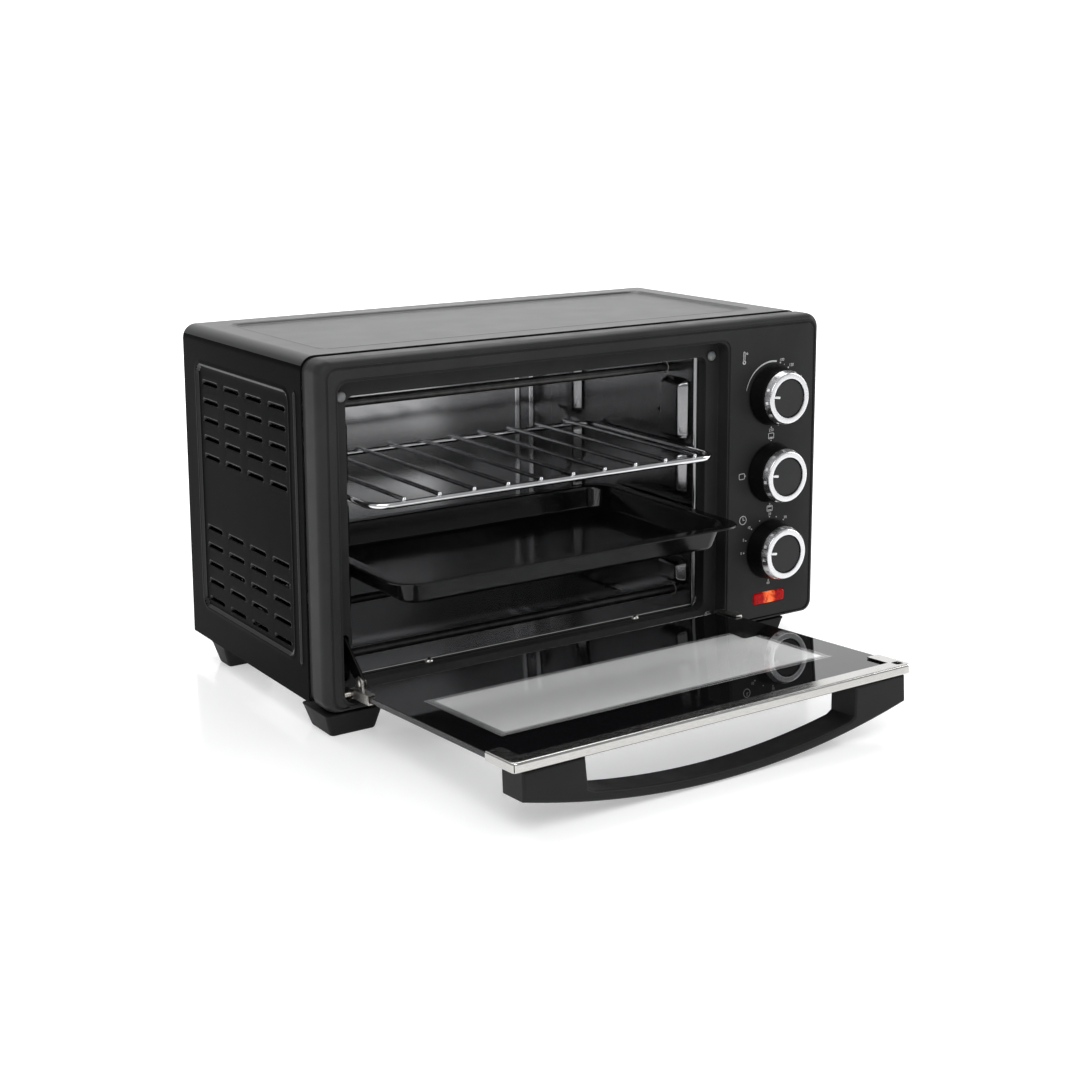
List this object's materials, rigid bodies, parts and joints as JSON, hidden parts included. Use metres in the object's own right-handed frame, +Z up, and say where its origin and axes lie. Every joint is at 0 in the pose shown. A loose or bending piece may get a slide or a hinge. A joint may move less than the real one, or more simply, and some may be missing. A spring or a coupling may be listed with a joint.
{
  "type": "toaster oven",
  "caption": "Countertop oven with a drop-down glass door, bow handle, wire rack, baking tray, tubular heaters and a column of control knobs.",
  "frame": {"origin": "middle of the whole object in plan, with the door open, on the floor its feet stand on", "axes": "+X to the object's right seen from the front, towards the control knobs; +Y to the back; +Z up. The door faces -Y"},
  "size_m": [0.42, 0.4212, 0.248],
  "materials": {
    "painted_steel": "satin black paint with a fine grain",
    "frame_black": "satin dark grey-black moulded plastic",
    "galvanised_sheet": "bright galvanised sheet",
    "black_enamel": "gloss black enamel",
    "bright_steel": "zinc-plated, lightly brushed",
    "dark_steel": "blackened steel",
    "chrome_wire": "bright plating",
    "chrome_trim": "bright plating with a satin side",
    "black_plastic": "matte black moulded plastic",
    "heater_tube": "dark oxidised steel tube",
    "ceramic": "unglazed white ceramic",
    "soft_bumper": "grey translucent silicone",
    "door_glass": "clear tempered glass with a black ceramic border",
    "red_lens": "translucent red"
  },
  "bodies": {
    "chassis": {"outer_cover": "painted_steel", "rear_panel": "painted_steel", "front_frame": "frame_black", "base_plate": "galvanised_sheet", "cavity_ceiling": "galvanised_sheet", "cavity_rear_wall": "galvanised_sheet", "cavity_left_wall": "galvanised_sheet", "cavity_right_wall": "galvanised_sheet", "cavity_floor": "galvanised_sheet", "thermostat_control": "galvanised_sheet", "mode_control": "galvanised_sheet", "timer_control": "galvanised_sheet", "rear_screw_1": "bright_steel", "rear_screw_2": "bright_steel", "rear_screw_3": "bright_steel", "rear_screw_4": "bright_steel", "foot_front_left": "black_plastic", "foot_front_right": "black_plastic", "foot_rear_left": "black_plastic", "foot_rear_right": "black_plastic", "cord_gland": "black_plastic", "heating_element_upper_front": "heater_tube", "heating_element_upper_rear": "heater_tube", "heating_element_lower_front": "heater_tube", "heating_element_lower_rear": "heater_tube", "insulator_upper_front_left": "ceramic", "insulator_upper_front_right": "ceramic", "insulator_upper_rear_left": "ceramic", "insulator_upper_rear_right": "ceramic", "insulator_lower_front_left": "ceramic", "insulator_lower_front_right": "ceramic", "insulator_lower_rear_left": "ceramic", "insulator_lower_rear_right": "ceramic", "terminal_block": "ceramic", "indicator_lamp": "ceramic", "door_bumper_left": "soft_bumper", "door_bumper_right": "soft_bumper", "indicator_lens": "red_lens"},
    "door": {"door_glass": "door_glass", "door_trim_channel": "chrome_trim", "door_handle": "black_plastic", "hinge_bracket_left": "bright_steel", "hinge_bracket_right": "bright_steel", "link_rivet_left": "bright_steel"},
    "link_left": {"link_arm_left": "dark_steel", "door_spring_left": "bright_steel"},
    "rack": {"wire_rack": "chrome_wire"},
    "tray": {"baking_tray": "black_enamel"},
    "thermostat_control_knob": {"thermostat_knob": "black_plastic", "thermostat_knob_ring": "chrome_trim", "thermostat_shaft": "bright_steel"},
    "mode_control_knob": {"mode_knob": "black_plastic", "mode_knob_ring": "chrome_trim", "mode_shaft": "bright_steel"},
    "timer_control_knob": {"timer_knob": "black_plastic", "timer_knob_ring": "chrome_trim", "timer_shaft": "bright_steel"}
  },
  "joints": [
    {"name": "door_hinge", "type": "hinge", "parent": "chassis", "child": "door", "pos_m": [-0.0375, -0.00937, 0.0265], "axis": [-1, 0, 0], "range_deg": [0, 86.5]},
    {"name": "link_left_pivot", "type": "hinge", "parent": "door", "child": "link_left", "pos_m": [-0.1908, -0.02271, 0.03784], "axis": [-1, 0, 0], "range_deg": [-86.5, 0]},
    {"name": "rack_slide", "type": "slide", "parent": "chassis", "child": "rack", "axis": [0, 1, 0], "range_m": [0, 0.03]},
    {"name": "tray_slide", "type": "slide", "parent": "chassis", "child": "tray", "axis": [0, 1, 0], "range_m": [0, 0.062]},
    {"name": "thermostat_turn", "type": "hinge", "parent": "chassis", "child": "thermostat_control_knob", "pos_m": [0.1633, -0.03337, 0.19], "axis": [0, 1, 0], "range_deg": [0, 270]},
    {"name": "mode_turn", "type": "hinge", "parent": "chassis", "child": "mode_control_knob", "pos_m": [0.1633, -0.03337, 0.131], "axis": [0, 1, 0], "range_deg": [0, 270]},
    {"name": "timer_turn", "type": "hinge", "parent": "chassis", "child": "timer_control_knob", "pos_m": [0.1633, -0.03337, 0.072], "axis": [0, 1, 0], "range_deg": [0, 270]}
  ],
  "couplings": [
    {"joint": "link_left_pivot", "follows": "door_hinge", "ratio": -1},
    {"joint": "rack_slide", "follows": "door_hinge", "m_per_rad": 0.019865},
    {"joint": "tray_slide", "follows": "door_hinge", "m_per_rad": 0.041061}
  ]
}
